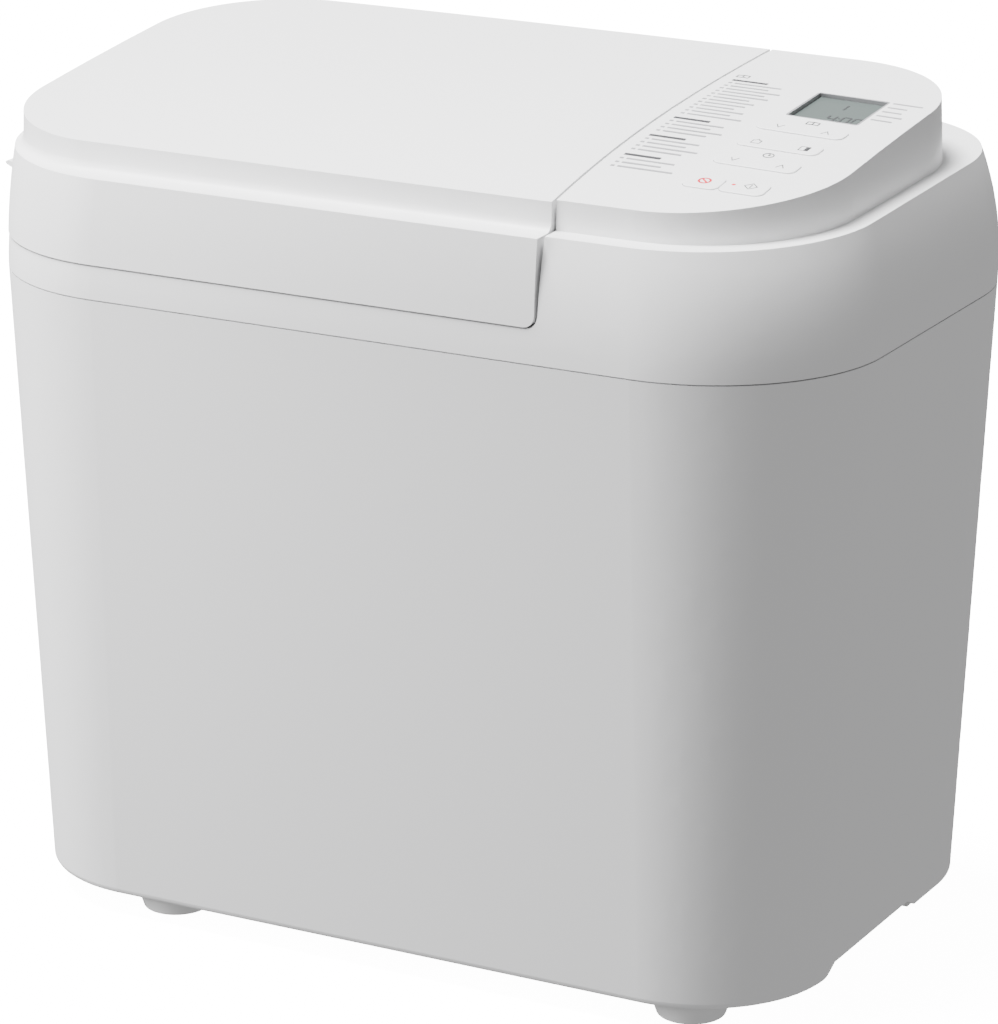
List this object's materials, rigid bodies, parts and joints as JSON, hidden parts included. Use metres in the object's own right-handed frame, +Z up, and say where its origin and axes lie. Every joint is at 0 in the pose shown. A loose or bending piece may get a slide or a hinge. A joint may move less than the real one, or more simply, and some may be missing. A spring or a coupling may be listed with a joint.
{
  "type": "bread machine",
  "caption": "Automatic bread maker: tapered white casing with a hinged lid, a control panel with keys and display, and an oven chamber with a lift-out kneading pan driven from below.",
  "frame": {"origin": "on the floor under the middle of the overall box, the steam hood on the left included", "axes": "+X to the right of a person who faces the machine, -Y towards that person, +Z up"},
  "size_m": [0.408, 0.252, 0.3613],
  "materials": {
    "casing_white": "smooth satin moulded plastic",
    "base_plastic": "moulded plastic with a fine texture",
    "foot_rubber": "light grey rubber",
    "key_white": "smooth satin plastic",
    "lamp_red": "tinted clear plastic",
    "bezel_grey": "smooth grey plastic",
    "display_glass": "grey-green liquid crystal glass, polished",
    "display_grey": "moulded frame that holds the display glass",
    "board_green": "solder-masked circuit board",
    "component_dark": "black moulded plastic",
    "screw_steel": "zinc plated",
    "liner_aluminium": "pressed sheet with a soft brushed surface",
    "chamber_steel": "aluminised sheet",
    "spring_steel": "bright spring strip",
    "heater_steel": "heat-darkened tube",
    "ceramic_white": "unglazed insulator",
    "cast_aluminium": "die cast",
    "sintered_bronze": "sintered bearing metal",
    "shaft_steel": "ground steel",
    "coupling_steel": "pressed steel",
    "pulley_plastic": "acetal",
    "belt_rubber": "ribbed drive belt",
    "mount_rubber": "soft bush",
    "stator_steel": "laminated stack with lacquered windings",
    "pan_coating": "dark non-stick coating on aluminium",
    "seal_silicone": "silicone lip seal",
    "handle_steel": "plated wire",
    "grip_black": "heat-resistant moulding"
  },
  "bodies": {
    "root": {"lower_housing": "casing_white", "top_frame": "casing_white", "base_plate": "base_plastic", "feet": "foot_rubber", "display_bezel": "bezel_grey", "display_window": "display_glass", "display_module": "display_grey", "control_board": "board_green", "power_board": "board_green", "key_switches": "component_dark", "power_components": "component_dark", "run_capacitor": "component_dark", "cord_gland": "component_dark", "thermal_fuse": "component_dark", "board_screws": "screw_steel", "chassis_screws": "screw_steel", "motor_screws": "screw_steel", "hinge_pins": "screw_steel", "oven_chamber": "chamber_steel", "heat_shield": "chamber_steel", "chassis_plate": "chamber_steel", "chamber_brackets": "chamber_steel", "pan_seat": "chamber_steel", "pan_clips": "spring_steel", "heater_element": "heater_steel", "temperature_sensor": "heater_steel", "heater_clips": "heater_steel", "heater_terminals": "ceramic_white", "bearing_housing": "cast_aluminium", "motor_end_shields": "cast_aluminium", "drive_bushes": "sintered_bronze", "drive_belt": "belt_rubber", "motor_mounts": "mount_rubber", "motor_stator": "stator_steel"},
    "lid": {"lid_cover": "casing_white", "lid_liner": "liner_aluminium", "lid_screws": "screw_steel", "steam_hood": "casing_white"},
    "pan": {"bread_pan": "pan_coating", "pan_base": "cast_aluminium", "shaft_bush": "sintered_bronze", "shaft_seal": "seal_silicone", "handle_pivots": "handle_steel"},
    "handle": {"pan_handle": "handle_steel", "handle_grip": "grip_black"},
    "kneader": {"pan_shaft": "shaft_steel", "driven_coupling": "coupling_steel"},
    "blade": {"kneading_blade": "pan_coating"},
    "drive": {"drive_shaft": "shaft_steel", "drive_coupling": "coupling_steel", "drive_pulley": "pulley_plastic"},
    "rotor": {"motor_rotor": "shaft_steel", "motor_pulley": "pulley_plastic", "motor_fan": "component_dark"},
    "menu_key": {"key_menu": "key_white"},
    "size_crust_key": {"key_size_crust": "key_white"},
    "timer_key": {"key_timer": "key_white"},
    "stop_key": {"key_stop": "key_white"},
    "start_key": {"key_start": "key_white", "start_lamp": "lamp_red"}
  },
  "joints": [
    {"name": "lid_hinge", "type": "hinge", "parent": "root", "child": "lid", "pos_m": [-0.043, 0.0995, 0.3273], "axis": [-1, 0, 0], "range_deg": [0, 70]},
    {"name": "pan_lift", "type": "slide", "parent": "root", "child": "pan", "axis": [0, 0, 1], "range_m": [0, 0.06]},
    {"name": "handle_swing", "type": "hinge", "parent": "pan", "child": "handle", "pos_m": [-0.052, -0.006, 0.226], "axis": [-1, 0, 0], "range_deg": [0, 180]},
    {"name": "drive_spin", "type": "hinge", "parent": "root", "child": "drive", "pos_m": [-0.052, -0.006, 0.036], "axis": [0, 0, 1], "continuous": true},
    {"name": "kneader_spin", "type": "hinge", "parent": "pan", "child": "kneader", "pos_m": [-0.052, -0.006, 0.1], "axis": [0, 0, 1], "continuous": true},
    {"name": "motor_spin", "type": "hinge", "parent": "root", "child": "rotor", "pos_m": [0.126, -0.006, 0.08], "axis": [0, 0, 1], "continuous": true},
    {"name": "blade_lift", "type": "slide", "parent": "kneader", "child": "blade", "axis": [0, 0, 1], "range_m": [0, 0.035]},
    {"name": "menu_rock", "type": "hinge", "parent": "root", "child": "menu_key", "pos_m": [0.14891, -0.0095, 0.35048], "axis": [0.0031, 0.995, 0.0994], "range_deg": [-1.1, 1.1], "stiffness_Nm_per_rad": 0.3},
    {"name": "size_crust_rock", "type": "hinge", "parent": "root", "child": "size_crust_key", "pos_m": [0.14851, -0.02986, 0.34831], "axis": [0.0035, 0.9936, 0.1132], "range_deg": [-1.1, 1.1], "stiffness_Nm_per_rad": 0.3},
    {"name": "timer_rock", "type": "hinge", "parent": "root", "child": "timer_key", "pos_m": [0.14852, -0.05091, 0.34575], "axis": [0.0037, 0.9917, 0.1288], "range_deg": [-1.1, 1.1], "stiffness_Nm_per_rad": 0.3},
    {"name": "stop_press", "type": "slide", "parent": "root", "child": "stop_key", "axis": [-0.0185, 0.1538, -0.9879], "range_m": [0, 0.0004], "stiffness_N_per_m": 600},
    {"name": "start_press", "type": "slide", "parent": "root", "child": "start_key", "axis": [-0.0209, 0.1463, -0.989], "range_m": [0, 0.0004], "stiffness_N_per_m": 600}
  ],
  "couplings": [
    {"joint": "kneader_spin", "follows": "drive_spin", "ratio": 1},
    {"joint": "motor_spin", "follows": "drive_spin", "ratio": 5.1748}
  ]
}
